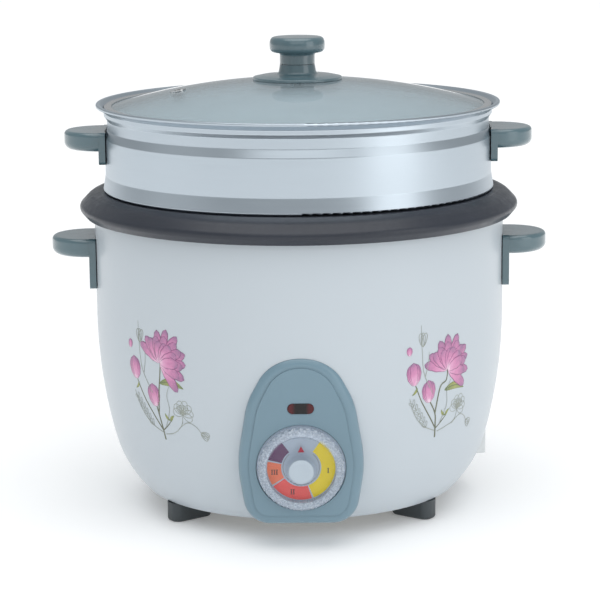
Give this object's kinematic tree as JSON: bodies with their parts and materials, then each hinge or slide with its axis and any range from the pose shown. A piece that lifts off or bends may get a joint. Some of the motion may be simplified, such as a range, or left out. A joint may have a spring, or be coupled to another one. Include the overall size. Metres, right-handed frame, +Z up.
{
  "type": "rice cooker",
  "caption": "Electric rice cooker with a bowl-shaped body, coated pot with a wide rim, steamer pan, glass lid, side handles and a timer dial on an egg-shaped front panel.",
  "frame": {"origin": "on the floor under the middle of the body", "axes": "+Z up, control panel towards -Y, handles along X"},
  "size_m": [0.374, 0.3294, 0.354],
  "materials": {
    "shell_enamel": "satin white enamel with a printed flower spray",
    "panel_plastic": "satin blue-grey moulding",
    "handle_plastic": "satin blue-grey phenolic moulding",
    "foot_plastic": "dark grey-green moulding",
    "nonstick": "dark non-stick coating",
    "brushed_aluminium": "brushed",
    "cast_aluminium": "cast and machined",
    "liner_steel": "galvanised sheet",
    "lid_glass": "clear tempered glass",
    "stainless": "polished",
    "clear_plastic": "clear moulding",
    "dial_print": "printed disc",
    "pointer_red": "printed",
    "lens_red": "dark red translucent",
    "lamp_glass": "clear",
    "white_plastic": "white moulding",
    "nickel": "nickel plated",
    "zinc_steel": "zinc plated",
    "element_steel": "heat-stained sheath",
    "terminal_plastic": "moulded",
    "switch_plastic": "moulded",
    "spring_steel": "drawn wire",
    "silicone": "translucent",
    "wire_brown": "insulation",
    "wire_blue": "insulation",
    "wire_green": "insulation",
    "wire_red": "insulation"
  },
  "bodies": {
    "housing": {"outer_shell": "shell_enamel", "inner_liner": "liner_steel", "base_plate": "zinc_steel", "foot_front_right": "foot_plastic", "foot_rear_right": "foot_plastic", "foot_rear_left": "foot_plastic", "foot_front_left": "foot_plastic", "foot_screws": "zinc_steel", "body_handle_right": "handle_plastic", "body_handle_left": "handle_plastic", "body_handle_screws": "zinc_steel", "inlet_housing": "white_plastic", "inlet_pins": "nickel", "inlet_bracket": "zinc_steel", "control_panel": "panel_plastic", "panel_screws": "zinc_steel", "dial_plate": "dial_print", "timer_case": "terminal_plastic", "timer_screws": "zinc_steel", "indicator_lens": "lens_red", "neon_lamp": "lamp_glass", "heating_plate": "cast_aluminium", "heating_element": "element_steel", "plate_posts": "zinc_steel", "post_nuts": "zinc_steel", "sensor_guide": "zinc_steel", "thermostat_switch": "switch_plastic", "terminal_block": "terminal_plastic", "terminal_screws": "zinc_steel", "thermal_fuse": "nickel", "fuse_clip": "zinc_steel", "lead_live": "wire_brown", "lead_neutral": "wire_blue", "lead_earth": "wire_green", "lead_timer": "wire_red"},
    "inner_pot": {"inner_pot": "nonstick"},
    "steamer": {"steamer_pan": "brushed_aluminium", "steamer_handle_right": "handle_plastic", "steamer_handle_left": "handle_plastic", "steamer_rivets": "stainless"},
    "lid": {"lid_glass": "lid_glass", "lid_band": "stainless", "vent_eyelet": "stainless", "lid_knob_base": "handle_plastic", "lid_knob_cap": "handle_plastic", "lid_washer": "silicone", "lid_screw": "stainless"},
    "timer_knob": {"timer_knob": "clear_plastic", "pointer_mark": "pointer_red", "timer_shaft": "stainless"},
    "sensor": {"sensor_cap": "cast_aluminium", "sensor_spring": "spring_steel"}
  },
  "joints": [
    {"name": "pot_lift", "type": "slide", "parent": "housing", "child": "inner_pot", "axis": [0, 0, 1], "range_m": [0, 0.2]},
    {"name": "steamer_lift", "type": "slide", "parent": "inner_pot", "child": "steamer", "axis": [0, 0, 1], "range_m": [0, 0.15]},
    {"name": "lid_lift", "type": "slide", "parent": "steamer", "child": "lid", "axis": [0, 0, 1], "range_m": [0, 0.12]},
    {"name": "timer_turn", "type": "hinge", "parent": "housing", "child": "timer_knob", "pos_m": [0, -0.1511, 0.062], "axis": [0, 0.9969, 0.0785], "range_deg": [0, 320]},
    {"name": "sensor_press", "type": "slide", "parent": "housing", "child": "sensor", "axis": [0, 0, -1], "range_m": [0, 0.003], "stiffness_N_per_m": 300, "springref_m": -0.002, "deforming": ["sensor_spring"]}
  ]
}
